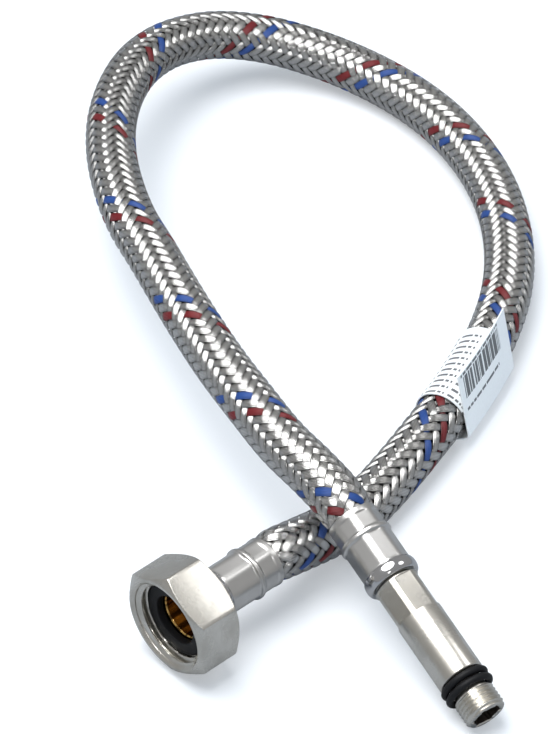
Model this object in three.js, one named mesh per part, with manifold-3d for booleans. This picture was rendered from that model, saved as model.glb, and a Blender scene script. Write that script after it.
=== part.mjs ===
// A braided flexible tap hose: rubber liner in a woven wire sleeve, a long threaded tail at one end
// and a free-turning union nut at the other, lying in the loop that it is sold in.
// Millimetres, +Z up. The nut's mouth faces -Y.

import * as THREE from 'three';
import { mergeVertices } from 'three/addons/utils/BufferGeometryUtils.js';
import Module from 'manifold-3d';

const wasm = await Module();
wasm.setup();

// Clearances
const FIT = 0.3; // between pieces that touch on the real hose
const CRIMP_FIT = 0.25; // between the crimped sleeve, the wires under it and the liner

// Hose
const HOSE_DIAMETER = 12.5;
const BRAID_WALL = 0.45;
const LINER_DIAMETER = 10.7;
const LINER_BORE = 8;
const HOSE_SIDES = 12;
const HOSE_STEPS = 40;

// The same hose where the ferrules press it, and the length over which it narrows before them
const CRIMPED_BORE = 7.2;
const CRIMPED_LINER_WALL = 0.95;
const CRIMPED_BRAID_WALL = 0.3;
const TAPER_LENGTH = 3;

// Ferrules
const FERRULE_LENGTH = 18.2;
const FERRULE_WALL = 0.4;
const FERRULE_MOUTH = 1.2;
const FERRULE_FLATS = 8;
const RIDGE_START = 5.5;
const RIDGE_WIDTH = 1.3;
const RIDGE_RISE = 0.4;
const BEAD_WIDTH = 3.3;
const BEAD_RISE = 0.55;
const LIP_THICKNESS = 1.1;

// Barbed stems, shared by both fittings
const STEM_START = 1.5;
const STEM_BORE = 5;
const BARB_COUNT = 3;
const BARB_PITCH = 3.8;
const BARB_HEIGHT = 0.5;
const COLLAR_WIDTH = 1.8;
const COLLAR_DIAMETER = 10.1;

// Tail
const TAIL_DIAMETER = 11;
const TAIL_NECK_DIAMETER = 8.6;
const TAIL_FLATS_ACROSS = 10.1;
const TAIL_FLATS_LENGTH = 9.2;
const TAIL_SHANK_LENGTH = 17.4;
const TAIL_THREAD_DIAMETER = 9.9;
const TAIL_THREAD_LENGTH = 6;
const TAIL_TIP_CHAMFER = 0.6;
const TAIL_BORE = 6.5;
const TAIL_BORE_LENGTH = 14;
const KEYWAY_COUNT = 6;
const KEYWAY_DIAMETER = 1.1;
const KEYWAY_DEPTH = 4;
const O_RING_SECTION = 1.7;
const O_RING_DIAMETER = 12;
const O_RING_COUNT = 2;

// Nut, nipple and gasket
const NUT_ACROSS_FLATS = 24;
const NUT_LENGTH = 12;
const NUT_BACK_GAP = 0.5;
const NUT_BACK_WALL = 3;
const NUT_FLOAT = 2.1; // how far the nut slides on its nipple; modelled pushed back
const NUT_FACE_DIAMETER = 23.2;
const NUT_CHAMFER_ANGLE = THREE.MathUtils.degToRad(30);
const NUT_THREAD_BORE = 18.7;
const NUT_THREAD_MAJOR = 21;
const NUT_RELIEF_LENGTH = 2.6;
const NUT_LEAD_IN = 0.6;
const NUT_MOUTH_DIAMETER = 22.2;
const NIPPLE_NECK_DIAMETER = 8.6;
const NIPPLE_JOURNAL_DIAMETER = 13.2;
const NIPPLE_FLANGE_THICKNESS = 1.5;
const NIPPLE_BORE = 11;
const NIPPLE_BORE_DEPTH = 4.6;
const NIPPLE_CONE_LENGTH = 1.5;
const GASKET_THICKNESS = 2;
const GASKET_BORE = 12;

// Paper label: a strip that winds once round the hose and stands up as a flag
const LABEL_THICKNESS = 0.3;
const LABEL_SPAN = [0.794, 0.85]; // shares of the free hose, from the tail
const LABEL_STEPS = 6;
const LABEL_ROUND_POINTS = 21;
const LABEL_FOLD_POINTS = 4;
const LABEL_LEAN = THREE.MathUtils.degToRad(11);
const LABEL_UNDERSIDE = THREE.MathUtils.degToRad(-62);
const LABEL_FOLD_RADIUS = 1;
const LABEL_FLAG_LENGTH = 13.3;

// How the hose lies. The tail's tip and the nut's lowest corner touch the ground.
const TAIL_HEADING = THREE.MathUtils.degToRad(-9.2);
const TAIL_SLOPE = THREE.MathUtils.degToRad(18);
const TAIL_MOUTH = [56.8, -44.3];
const NUT_MOUTH = [47.55, -62.04];
const STRAIGHT_OUT = 7;
const STRAIGHT_IN = 3.5;

// Centreline between the straight ends, from the tail to the nut
const ROUTE = [
  [42.5, -42.5, 25.2],
  [30.6, -41.3, 25.9],
  [16.8, -38.3, 26.7],
  [3.0, -34.9, 27.4],
  [-10.6, -30.6, 27.8],
  [-24.1, -25.8, 28.0],
  [-37.3, -20.8, 28.0],
  [-50.6, -15.8, 27.8],
  [-63.2, -9.2, 27.4],
  [-74.9, -1.3, 26.8],
  [-85.5, 8.2, 26.0],
  [-94.4, 19.2, 24.8],
  [-101.2, 31.5, 23.0],
  [-104.4, 44.9, 20.4],
  [-103.4, 58.5, 16.7],
  [-97.2, 70.4, 12.7],
  [-86.8, 79.2, 9.3],
  [-74.0, 84.5, 7.3],
  [-59.9, 86.5, 6.5],
  [-45.8, 85.5, 6.4],
  [-32.1, 82.0, 6.4],
  [-19.1, 76.4, 6.5],
  [-7.1, 68.9, 6.7],
  [3.8, 59.7, 6.9],
  [13.2, 49.1, 7.1],
  [21.0, 37.2, 7.2],
  [27.3, 24.5, 7.2],
  [32.6, 11.3, 7.1],
  [36.9, -2.1, 6.9],
  [40.1, -12.8, 6.6],
  [43.0, -23.6, 6.5],
  [44.6, -31.0, 6.8],
  [45.6, -37.1, 7.8],
  [46.4, -43.0, 9.4],
  [47.0, -48.8, 11.2],
  [47.4, -54.4, 12.8],
];

// Sizes that follow from those above
const hoseRadius = HOSE_DIAMETER / 2;
const crimpedLiner = [CRIMPED_BORE / 2, CRIMPED_BORE / 2 + CRIMPED_LINER_WALL];
const crimpedBraid = [crimpedLiner[1] + CRIMP_FIT, crimpedLiner[1] + CRIMP_FIT + CRIMPED_BRAID_WALL];
const ferruleBore = crimpedBraid[1] + CRIMP_FIT;
const ferruleMouthBore = THREE.MathUtils.lerp(
  crimpedBraid[1], hoseRadius, FERRULE_MOUTH / (FERRULE_MOUTH + TAPER_LENGTH)) + CRIMP_FIT;
const ferruleFlatRadius = ferruleBore + FERRULE_WALL;
const ferruleRadius = ferruleFlatRadius / Math.cos(Math.PI / FERRULE_FLATS) - 0.2;
const beadStart = FERRULE_LENGTH - BEAD_WIDTH;
const lipStart = FERRULE_LENGTH - LIP_THICKNESS;
const collarEnd = lipStart - FIT;
const collarStart = collarEnd - COLLAR_WIDTH;
const hoseEnd = collarStart - FIT;
const fittingFace = FERRULE_LENGTH + FIT;
const stemRadius = CRIMPED_BORE / 2 - FIT;
const tailFlatsEnd = fittingFace + 0.5 + TAIL_FLATS_LENGTH;
const grooveStart = tailFlatsEnd + TAIL_SHANK_LENGTH;
const grooveLength = O_RING_COUNT * O_RING_SECTION + (O_RING_COUNT + 1) * FIT;
const threadStart = grooveStart + grooveLength;
const tailLength = threadStart + TAIL_THREAD_LENGTH;
const nutBack = FERRULE_LENGTH + NUT_BACK_GAP;
const nutSeat = nutBack + NUT_BACK_WALL;
const nutFront = nutBack + NUT_LENGTH;
const nutCornerRadius = NUT_ACROSS_FLATS / 2 / Math.cos(Math.PI / 6);
const flangeBack = nutSeat + NUT_FLOAT;
const flangeFront = flangeBack + NIPPLE_FLANGE_THICKNESS;
const gasketBack = flangeFront + FIT;
const flangeRadius = NUT_THREAD_BORE / 2 - FIT;

const finishes = {
  braid: { color: 0xb9babb, roughness: 0.32, metalness: 1 },
  steel: { color: 0xc9cacb, roughness: 0.16, metalness: 1 },
  nickel: { color: 0xb6b3ab, roughness: 0.34, metalness: 1 },
  brass: { color: 0xb07f3c, roughness: 0.3, metalness: 1 },
  rubber: { color: 0x17181b, roughness: 0.62, metalness: 0 },
  paper: { color: 0xf2f2ef, roughness: 0.75, metalness: 0 },
};

function piece(name, geometry, finish) {
  const mesh = new THREE.Mesh(geometry, new THREE.MeshStandardMaterial(finishes[finish]));
  mesh.name = name;
  return mesh;
}

function toSolid(geometry) {
  const bare = geometry.clone();
  bare.deleteAttribute('normal');
  bare.deleteAttribute('uv');
  const merged = mergeVertices(bare, 1e-4);
  return new wasm.Manifold(new wasm.Mesh({
    numProp: 3,
    vertProperties: merged.attributes.position.array,
    triVerts: new Uint32Array(merged.index.array),
  }));
}

function toGeometry(solid) {
  const mesh = solid.getMesh();
  const geometry = new THREE.BufferGeometry();
  geometry.setAttribute('position', new THREE.BufferAttribute(mesh.vertProperties, 3));
  geometry.setIndex(new THREE.BufferAttribute(mesh.triVerts, 1));
  geometry.computeVertexNormals();
  return geometry;
}

// A ring-like body turned about Z. The profile is a closed loop of [radius, height] pairs that runs
// up its outer side and down its inner side.
function turned(profile, segments) {
  const loop = [...profile, profile[0]].map(([radius, height]) => new THREE.Vector2(radius, height));
  return new THREE.LatheGeometry(loop, segments).rotateX(Math.PI / 2);
}

// A regular prism about Z, with a corner at +Y turned by the given angle.
function prism(sides, acrossFlats, from, to, turn = 0) {
  const radius = acrossFlats / 2 / Math.cos(Math.PI / sides);
  return new THREE.CylinderGeometry(radius, radius, to - from, sides)
    .rotateX(Math.PI / 2)
    .rotateZ(turn)
    .translate(0, 0, (from + to) / 2);
}

// Mills flats on a turned solid between two heights.
function withFlats(solid, sides, acrossFlats, from, to, turn = 0) {
  const blank = toSolid(prism(48, acrossFlats * 1.5, from, to));
  const core = toSolid(prism(sides, acrossFlats, from - 1, to + 1, turn));
  return solid.subtract(blank.subtract(core));
}

// Both fittings lie along their own +Z, with the ferrule's open end at height 0.
function placeFitting(group, mouth, direction) {
  const side = new THREE.Vector3().crossVectors(new THREE.Vector3(0, 0, 1), direction).normalize();
  const rise = new THREE.Vector3().crossVectors(direction, side);
  group.quaternion.setFromRotationMatrix(new THREE.Matrix4().makeBasis(side, rise, direction));
  group.position.copy(mouth);
}

function tailAxis() {
  const level = Math.cos(TAIL_SLOPE);
  const direction = new THREE.Vector3(
    level * Math.cos(TAIL_HEADING), level * Math.sin(TAIL_HEADING), -Math.sin(TAIL_SLOPE));
  const height = (tailLength - TAIL_TIP_CHAMFER) * Math.sin(TAIL_SLOPE)
    + TAIL_THREAD_DIAMETER / 2 * level;
  return { mouth: new THREE.Vector3(...TAIL_MOUTH, height), direction };
}

function nutAxis() {
  return {
    mouth: new THREE.Vector3(...NUT_MOUTH, nutCornerRadius),
    direction: new THREE.Vector3(0, -1, 0),
  };
}

// The hose's centreline from mouth to mouth.
function freeRoute() {
  const tail = tailAxis();
  const nut = nutAxis();
  const along = (axis, distance) => axis.mouth.clone().addScaledVector(axis.direction, distance);
  return new THREE.CatmullRomCurve3([
    along(tail, 0),
    along(tail, -STRAIGHT_OUT),
    ...ROUTE.map((point) => new THREE.Vector3(...point)),
    along(nut, -STRAIGHT_IN),
    along(nut, 0),
  ], false, 'centripetal');
}

// Places along the hose from inside the tail's ferrule to inside the nut's. Each has two directions
// across the hose, and a grip that is 1 where a ferrule presses the hose and 0 where it is free.
function stations() {
  const route = freeRoute();
  const margin = TAPER_LENGTH / route.getLength();
  const gripped = ({ mouth, direction }, height, sense) => ({
    place: mouth.clone().addScaledVector(direction, height),
    along: direction.clone().multiplyScalar(sense),
    grip: 1,
  });
  const free = Array.from({ length: HOSE_STEPS + 1 }, (_, i) => {
    const share = THREE.MathUtils.lerp(margin, 1 - margin, i / HOSE_STEPS);
    return { place: route.getPointAt(share), along: route.getTangentAt(share), grip: 0 };
  });
  const all = [
    gripped(tailAxis(), hoseEnd, -1),
    gripped(tailAxis(), FERRULE_MOUTH, -1),
    ...free,
    gripped(nutAxis(), FERRULE_MOUTH, 1),
    gripped(nutAxis(), hoseEnd, 1),
  ];
  const side = new THREE.Vector3().crossVectors(new THREE.Vector3(0, 0, 1), all[0].along).normalize();
  return all.map((station, i) => {
    const before = all[Math.max(i - 1, 0)].along;
    side.applyQuaternion(new THREE.Quaternion().setFromUnitVectors(before, station.along));
    return {
      ...station,
      side: side.clone(),
      over: new THREE.Vector3().crossVectors(station.along, side),
    };
  });
}

// A wall between an inner and an outer skin, given as rows of points along it. A shut wall joins its
// last points to its first, and an open one ends in two edges.
function sweptWall(rows, shut) {
  const count = rows[0].inner.length;
  const last = rows.length - 1;
  const inner = (row, i) => row * 2 * count + (i % count);
  const outer = (row, i) => inner(row, i) + count;
  const indices = [];
  const quad = (a, b, c, d) => indices.push(a, b, c, a, c, d);
  for (let i = 0; i < (shut ? count : count - 1); i += 1) {
    for (let row = 0; row < last; row += 1) {
      quad(inner(row, i), inner(row + 1, i), inner(row + 1, i + 1), inner(row, i + 1));
      quad(outer(row, i), outer(row, i + 1), outer(row + 1, i + 1), outer(row + 1, i));
    }
    quad(inner(0, i), inner(0, i + 1), outer(0, i + 1), outer(0, i));
    quad(inner(last, i), outer(last, i), outer(last, i + 1), inner(last, i + 1));
  }
  for (let row = 0; row < last && !shut; row += 1) {
    const end = count - 1;
    quad(inner(row + 1, 0), inner(row, 0), outer(row, 0), outer(row + 1, 0));
    quad(inner(row, end), inner(row + 1, end), outer(row + 1, end), outer(row, end));
  }
  const vertices = rows.flatMap((row) => [...row.inner, ...row.outer].flatMap((point) => point.toArray()));
  const geometry = new THREE.BufferGeometry();
  geometry.setAttribute('position', new THREE.Float32BufferAttribute(vertices, 3));
  geometry.setIndex(indices);
  return toGeometry(toSolid(geometry));
}

// A tube along the hose, with its [inner, outer] radii where it is free and where it is pressed.
function hoseTube(free, pressed) {
  const rows = stations().map(({ place, side, over, grip }) => {
    const [inner, outer] = free.map((radius, skin) => {
      const size = THREE.MathUtils.lerp(radius, pressed[skin], grip);
      return Array.from({ length: HOSE_SIDES }, (_, i) => {
        const angle = (i / HOSE_SIDES) * 2 * Math.PI;
        return place.clone()
          .addScaledVector(side, size * Math.cos(angle))
          .addScaledVector(over, size * Math.sin(angle));
      });
    });
    return { inner, outer };
  });
  return sweptWall(rows, true);
}

// The rubber tube. Its flats clear the stem, so its pressed bore is measured across them.
function innerTube() {
  const acrossFlats = crimpedLiner[0] / Math.cos(Math.PI / HOSE_SIDES);
  const tube = hoseTube([LINER_BORE / 2, LINER_DIAMETER / 2], [acrossFlats, crimpedLiner[1]]);
  return piece('inner_tube', tube, 'rubber');
}

// The sleeve of wires, pressed narrower and thinner where the ferrules hold it.
function wireBraid() {
  return piece('wire_braid', hoseTube([hoseRadius - BRAID_WALL, hoseRadius], crimpedBraid), 'braid');
}

// A crimped sleeve: belled mouth, flats, a round ridge left between the two crimps, and a rolled
// bead whose lip closes behind the fitting's collar.
function ferrule(name, neckDiameter) {
  const ridgeEnd = RIDGE_START + RIDGE_WIDTH;
  const beadRadius = ferruleRadius + BEAD_RISE;
  const lipRadius = neckDiameter / 2 + FIT;
  const bead = Array.from({ length: 9 }, (_, i) => {
    const angle = (i / 8) * Math.PI - Math.PI / 2;
    const centre = beadStart + BEAD_WIDTH / 2;
    return [
      ferruleRadius - 0.1 + (beadRadius - ferruleRadius + 0.1) * Math.cos(angle),
      centre + (BEAD_WIDTH / 2) * Math.sin(angle),
    ];
  });
  const body = toSolid(turned([
    [ferruleMouthBore, 0],
    [ferruleMouthBore + FERRULE_WALL, 0],
    [ferruleRadius, FERRULE_MOUTH],
    [ferruleRadius, RIDGE_START],
    [ferruleRadius + RIDGE_RISE, RIDGE_START + 0.3],
    [ferruleRadius + RIDGE_RISE, ridgeEnd - 0.3],
    [ferruleRadius, ridgeEnd],
    ...bead,
    [lipRadius, FERRULE_LENGTH - 0.3],
    [lipRadius, lipStart],
    [ferruleBore, lipStart],
    [ferruleBore, FERRULE_MOUTH],
  ], 32));
  const rear = withFlats(body, FERRULE_FLATS, ferruleFlatRadius * 2, FERRULE_MOUTH, RIDGE_START);
  const both = withFlats(rear, FERRULE_FLATS, ferruleFlatRadius * 2, ridgeEnd, beadStart);
  return piece(name, toGeometry(both), 'steel');
}

// Outer profile of the barbed stem, from its tip to the collar's front.
function stemProfile() {
  const barbs = Array.from({ length: BARB_COUNT }, (_, i) => {
    const start = STEM_START + i * BARB_PITCH;
    return [
      [stemRadius - BARB_HEIGHT, start],
      [stemRadius, start + BARB_PITCH * 0.8],
      [stemRadius - BARB_HEIGHT, start + BARB_PITCH * 0.85],
    ];
  }).flat();
  return [
    ...barbs,
    [stemRadius - BARB_HEIGHT, collarStart],
    [COLLAR_DIAMETER / 2, collarStart],
    [COLLAR_DIAMETER / 2, collarEnd],
  ];
}

function keyway(index) {
  const angle = (index / KEYWAY_COUNT) * 2 * Math.PI;
  return toSolid(prism(10, KEYWAY_DIAMETER, tailLength - KEYWAY_DEPTH, tailLength + 1)
    .translate(TAIL_BORE / 2 * Math.cos(angle), TAIL_BORE / 2 * Math.sin(angle), 0));
}

function tailFitting() {
  const shank = TAIL_DIAMETER / 2;
  const thread = TAIL_THREAD_DIAMETER / 2;
  const groove = O_RING_DIAMETER / 2 - O_RING_SECTION - FIT;
  const boreStart = tailLength - TAIL_BORE_LENGTH;
  const blank = toSolid(turned([
    ...stemProfile(),
    [TAIL_NECK_DIAMETER / 2, collarEnd],
    [TAIL_NECK_DIAMETER / 2, fittingFace],
    [shank - 0.3, fittingFace],
    [shank, fittingFace + 0.3],
    [shank, grooveStart - 0.3],
    [shank - 0.3, grooveStart],
    [groove, grooveStart],
    [groove, threadStart],
    [thread, threadStart],
    [thread, tailLength - TAIL_TIP_CHAMFER],
    [thread - TAIL_TIP_CHAMFER, tailLength],
    [TAIL_BORE / 2, tailLength],
    [TAIL_BORE / 2, boreStart],
    [STEM_BORE / 2, boreStart - 0.5],
    [STEM_BORE / 2, STEM_START],
  ], 32));
  const milled = withFlats(blank, 6, TAIL_FLATS_ACROSS, fittingFace + 0.5, tailFlatsEnd, Math.PI / 6);
  let solid = milled;
  for (let i = 0; i < KEYWAY_COUNT; i += 1) solid = solid.subtract(keyway(i));
  return piece('tail_fitting', toGeometry(solid), 'nickel');
}

function oRing(name, index) {
  const radius = (O_RING_DIAMETER - O_RING_SECTION) / 2;
  const centre = grooveStart + FIT + O_RING_SECTION / 2 + index * (O_RING_SECTION + FIT);
  const ring = new THREE.TorusGeometry(radius, O_RING_SECTION / 2, 8, 28);
  return piece(name, ring.translate(0, 0, centre), 'rubber');
}

function nutNipple() {
  const neck = NIPPLE_NECK_DIAMETER / 2;
  const journal = NIPPLE_JOURNAL_DIAMETER / 2;
  const bore = NIPPLE_BORE / 2;
  const boreEnd = flangeFront - NIPPLE_BORE_DEPTH;
  const geometry = turned([
    ...stemProfile(),
    [neck, collarEnd],
    [neck, fittingFace],
    [journal, fittingFace],
    [journal, flangeBack],
    [flangeRadius - 0.2, flangeBack],
    [flangeRadius, flangeBack + 0.2],
    [flangeRadius, flangeFront - 0.2],
    [flangeRadius - 0.2, flangeFront],
    [bore + 0.3, flangeFront],
    [bore, flangeFront - 0.3],
    [bore, boreEnd],
    [STEM_BORE / 2, boreEnd - NIPPLE_CONE_LENGTH],
    [STEM_BORE / 2, STEM_START],
  ], 36);
  return piece('nut_nipple', geometry, 'brass');
}

// A hexagon nut with turned chamfers at both ends, a hole for the nipple and a relieved bore.
function unionNut() {
  const face = NUT_FACE_DIAMETER / 2;
  const outside = nutCornerRadius + 0.5;
  const chamfer = (outside - face) * Math.tan(NUT_CHAMFER_ANGLE);
  const bore = NUT_THREAD_BORE / 2;
  const relief = NUT_THREAD_MAJOR / 2;
  const blank = toSolid(turned([
    [NIPPLE_JOURNAL_DIAMETER / 2 + FIT, nutBack],
    [face, nutBack],
    [outside, nutBack + chamfer],
    [outside, nutFront - chamfer],
    [face, nutFront],
    [NUT_MOUTH_DIAMETER / 2, nutFront],
    [bore, nutFront - NUT_LEAD_IN],
    [bore, nutSeat + NUT_RELIEF_LENGTH],
    [relief, nutSeat + NUT_RELIEF_LENGTH - 0.4],
    [relief, nutSeat],
    [NIPPLE_JOURNAL_DIAMETER / 2 + FIT, nutSeat],
  ], 48));
  const hexagon = toSolid(prism(6, NUT_ACROSS_FLATS, nutBack - 1, nutFront + 1));
  return piece('union_nut', toGeometry(blank.intersect(hexagon)), 'nickel');
}

function gasket() {
  const geometry = turned([
    [flangeRadius, gasketBack],
    [flangeRadius, gasketBack + GASKET_THICKNESS],
    [GASKET_BORE / 2, gasketBack + GASKET_THICKNESS],
    [GASKET_BORE / 2, gasketBack],
  ], 40);
  return piece('gasket', geometry, 'rubber');
}

// One skin of the paper strip in cross-section, as [outward, up] from the hose's centreline: round
// the hose from behind the flag to its underside, round the fold beside it, and up the flag.
function labelSkin(radius) {
  const snug = hoseRadius + FIT;
  const start = LABEL_LEAN + Math.acos((snug - FIT) / (snug + LABEL_THICKNESS));
  const end = LABEL_UNDERSIDE + 2 * Math.PI;
  const half = (LABEL_LEAN - LABEL_UNDERSIDE) / 2;
  const middle = (LABEL_LEAN + LABEL_UNDERSIDE) / 2;
  const foldAway = (snug - LABEL_FOLD_RADIUS) / Math.cos(half);
  const foldRadius = LABEL_FOLD_RADIUS + radius - snug;
  const turn = (from, to, i, count) => THREE.MathUtils.lerp(from, to, i / (count - 1));
  const round = Array.from({ length: LABEL_ROUND_POINTS }, (_, i) => {
    const angle = turn(start, end, i, LABEL_ROUND_POINTS);
    return [radius * Math.cos(angle), radius * Math.sin(angle)];
  });
  const fold = Array.from({ length: LABEL_FOLD_POINTS }, (_, i) => {
    const angle = turn(LABEL_UNDERSIDE, LABEL_LEAN, i, LABEL_FOLD_POINTS);
    return [
      foldAway * Math.cos(middle) + foldRadius * Math.cos(angle),
      foldAway * Math.sin(middle) + foldRadius * Math.sin(angle),
    ];
  });
  const edge = [
    radius * Math.cos(LABEL_LEAN) - LABEL_FLAG_LENGTH * Math.sin(LABEL_LEAN),
    radius * Math.sin(LABEL_LEAN) + LABEL_FLAG_LENGTH * Math.cos(LABEL_LEAN),
  ];
  return [...round, ...fold, edge];
}

function label() {
  const route = freeRoute();
  const up = new THREE.Vector3(0, 0, 1);
  const skins = [hoseRadius + FIT, hoseRadius + FIT + LABEL_THICKNESS].map(labelSkin);
  const rows = Array.from({ length: LABEL_STEPS + 1 }, (_, step) => {
    const share = THREE.MathUtils.lerp(...LABEL_SPAN, step / LABEL_STEPS);
    const place = route.getPointAt(share);
    const along = route.getTangentAt(share);
    const out = new THREE.Vector3().crossVectors(up, along).normalize();
    const over = new THREE.Vector3().crossVectors(along, out);
    const [inner, outer] = skins.map((skin) => skin.map(([outward, rise]) => (
      place.clone().addScaledVector(out, outward).addScaledVector(over, rise))));
    return { inner, outer };
  });
  return piece('label', sweptWall(rows, false), 'paper');
}

function tailEnd() {
  const group = new THREE.Group();
  group.add(ferrule('ferrule_tail_end', TAIL_NECK_DIAMETER), tailFitting());
  group.add(oRing('o_ring_rear', 0), oRing('o_ring_front', 1));
  const { mouth, direction } = tailAxis();
  placeFitting(group, mouth, direction);
  return group;
}

function nutEnd() {
  const group = new THREE.Group();
  group.add(ferrule('ferrule_nut_end', NIPPLE_NECK_DIAMETER), nutNipple(), unionNut(), gasket());
  const { mouth, direction } = nutAxis();
  placeFitting(group, mouth, direction);
  return group;
}

const hose = new THREE.Group();
hose.add(innerTube(), wireBraid(), label(), tailEnd(), nutEnd());

export default hose;
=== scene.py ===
"""Dresses the braided tap hose: woven wire, crimped ferrules, threads, seals and paper label."""

import logging
import math
from dataclasses import dataclass, field
from enum import Enum

import bpy
import numpy as np
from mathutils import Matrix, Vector


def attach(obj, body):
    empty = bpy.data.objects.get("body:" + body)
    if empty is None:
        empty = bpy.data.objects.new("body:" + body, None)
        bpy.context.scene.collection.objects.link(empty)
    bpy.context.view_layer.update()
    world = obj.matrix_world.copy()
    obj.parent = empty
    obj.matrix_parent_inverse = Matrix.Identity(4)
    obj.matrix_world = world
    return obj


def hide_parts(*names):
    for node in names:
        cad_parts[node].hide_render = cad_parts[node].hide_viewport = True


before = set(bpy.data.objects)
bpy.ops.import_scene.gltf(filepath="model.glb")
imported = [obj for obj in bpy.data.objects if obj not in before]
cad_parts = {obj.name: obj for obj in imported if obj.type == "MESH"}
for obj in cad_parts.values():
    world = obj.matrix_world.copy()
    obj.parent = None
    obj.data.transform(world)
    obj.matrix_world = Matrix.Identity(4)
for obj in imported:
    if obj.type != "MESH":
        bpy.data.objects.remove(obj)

log = logging.getLogger("hose")

MM = 0.001
TURN = 2 * math.pi
IMAGE_HEIGHT = 734


class Body(str, Enum):
    """The two bodies that the joint parts."""

    HOSE = "hose"
    NUT = "nut"


class Hand(Enum):
    """Which way a helix runs round the hose, seen from the tail."""

    RIGHT = 1
    LEFT = -1


# Mesh making


@dataclass
class Surface:
    """Vertices with faces of any one size per block, and a UV pair for each face corner.

    Args:
        name: the piece's name.
        vertices: an array of points in millimetres, shape (n, 3).
    """

    name: str
    vertices: np.ndarray
    faces: list[np.ndarray] = field(default_factory=list)
    corners: list[np.ndarray] = field(default_factory=list)
    finishes: list[np.ndarray] = field(default_factory=list)

    def add(self, faces: np.ndarray, uv: np.ndarray, finish: np.ndarray | int = 0) -> None:
        """Adds a block of faces.

        Args:
            faces: vertex indices, one row a face.
            uv: the UV of each corner, shape (faces, corners, 2).
            finish: the material slot of each face, or one for all.
        """
        self.faces.append(faces)
        self.corners.append(uv)
        self.finishes.append(np.broadcast_to(finish, len(faces)).copy())

    def build(self, smooth_below_deg: float = 32.0) -> bpy.types.Object:
        """Makes the mesh object, with its faces turned outwards.

        Args:
            smooth_below_deg: edges sharper than this stay sharp.

        Returns:
            The object, linked to the scene, at the origin.
        """
        points = self.vertices * MM
        if signed_volume(points, self.faces) < 0:
            self.faces = [block[:, ::-1] for block in self.faces]
            self.corners = [block[:, ::-1] for block in self.corners]
        sizes = np.concatenate([np.full(len(block), block.shape[1]) for block in self.faces])
        mesh = bpy.data.meshes.new(self.name)
        mesh.vertices.add(len(points))
        mesh.vertices.foreach_set("co", points.astype(np.float32).ravel())
        mesh.loops.add(int(sizes.sum()))
        loops = np.concatenate([block.ravel() for block in self.faces])
        mesh.loops.foreach_set("vertex_index", loops.astype(np.int32))
        mesh.polygons.add(len(sizes))
        starts = np.concatenate([[0], np.cumsum(sizes)[:-1]])
        mesh.polygons.foreach_set("loop_start", starts.astype(np.int32))
        mesh.polygons.foreach_set(
            "material_index", np.concatenate(self.finishes).astype(np.int32)
        )
        mesh.update(calc_edges=True)
        layer = mesh.uv_layers.new(name="surface")
        uv = np.concatenate([block.reshape(-1, 2) for block in self.corners])
        layer.data.foreach_set("uv", uv.astype(np.float32).ravel())
        mesh.shade_smooth()
        mesh.set_sharp_from_angle(angle=math.radians(smooth_below_deg))
        piece = bpy.data.objects.new(self.name, mesh)
        bpy.context.scene.collection.objects.link(piece)
        return piece


def signed_volume(points: np.ndarray, blocks: list[np.ndarray]) -> float:
    """Six times the volume inside the faces: the sum over fan triangles of a . (b x c).

    Args:
        points: vertices, shape (n, 3).
        blocks: face index arrays.

    Returns:
        A number above zero where the faces point outwards.
    """
    total = 0.0
    for faces in blocks:
        for corner in range(1, faces.shape[1] - 1):
            a, b, c = points[faces[:, 0]], points[faces[:, corner]], points[faces[:, corner + 1]]
            total += float(np.einsum("ij,ij->", a, np.cross(b, c)))
    return total


def lattice_faces(
    rows: int, columns: int, wrap_rows: bool, wrap_columns: bool
) -> tuple[np.ndarray, np.ndarray]:
    """The quads of a grid of vertices, and each corner's row and column before wrapping.

    Args:
        rows: vertices along the first direction.
        columns: vertices along the second.
        wrap_rows: whether the last row joins the first.
        wrap_columns: whether the last column joins the first.

    Returns:
        The faces, shape (n, 4), and the corner grid places, shape (n, 4, 2).
    """
    row, column = np.meshgrid(
        np.arange(rows if wrap_rows else rows - 1),
        np.arange(columns if wrap_columns else columns - 1),
        indexing="ij",
    )
    row, column = row.ravel(), column.ravel()
    places = np.stack(
        [
            np.stack([row, row + 1, row + 1, row], axis=1),
            np.stack([column, column, column + 1, column + 1], axis=1),
        ],
        axis=-1,
    )
    return (places[..., 0] % rows) * columns + places[..., 1] % columns, places


def rounded(points: np.ndarray, radius: float, closed: bool, steps: int = 4) -> np.ndarray:
    """Rounds each corner of a profile by a quadratic curve from one cut point to the other.

    The cut points lie the given radius, or 0.45 of the shorter side, from the corner; the curve is
    (1-t)^2 a + 2t(1-t) corner + t^2 b.

    Args:
        points: the corners, shape (n, ..., 2).
        radius: how far from a corner the curve starts, in millimetres.
        closed: whether the last corner joins the first; otherwise both ends are kept.
        steps: points on each curve, less one.

    Returns:
        The rounded profile, shape (m, ..., 2).
    """
    before, after = np.roll(points, 1, axis=0), np.roll(points, -1, axis=0)
    back, on = before - points, after - points
    back_length = np.linalg.norm(back, axis=-1, keepdims=True) + 1e-9
    on_length = np.linalg.norm(on, axis=-1, keepdims=True) + 1e-9
    cut = np.minimum(radius, 0.45 * np.minimum(back_length, on_length))
    a, b = points + back / back_length * cut, points + on / on_length * cut
    t = np.linspace(0, 1, steps + 1).reshape((1, -1) + (1,) * (points.ndim - 1))
    curve = (
        (1 - t) ** 2 * a[:, None] + 2 * t * (1 - t) * points[:, None] + t**2 * b[:, None]
    )
    if closed:
        return curve.reshape((-1,) + points.shape[1:])
    inner = curve[1:-1].reshape((-1,) + points.shape[1:])
    return np.concatenate([points[:1], inner, points[-1:]])


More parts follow.
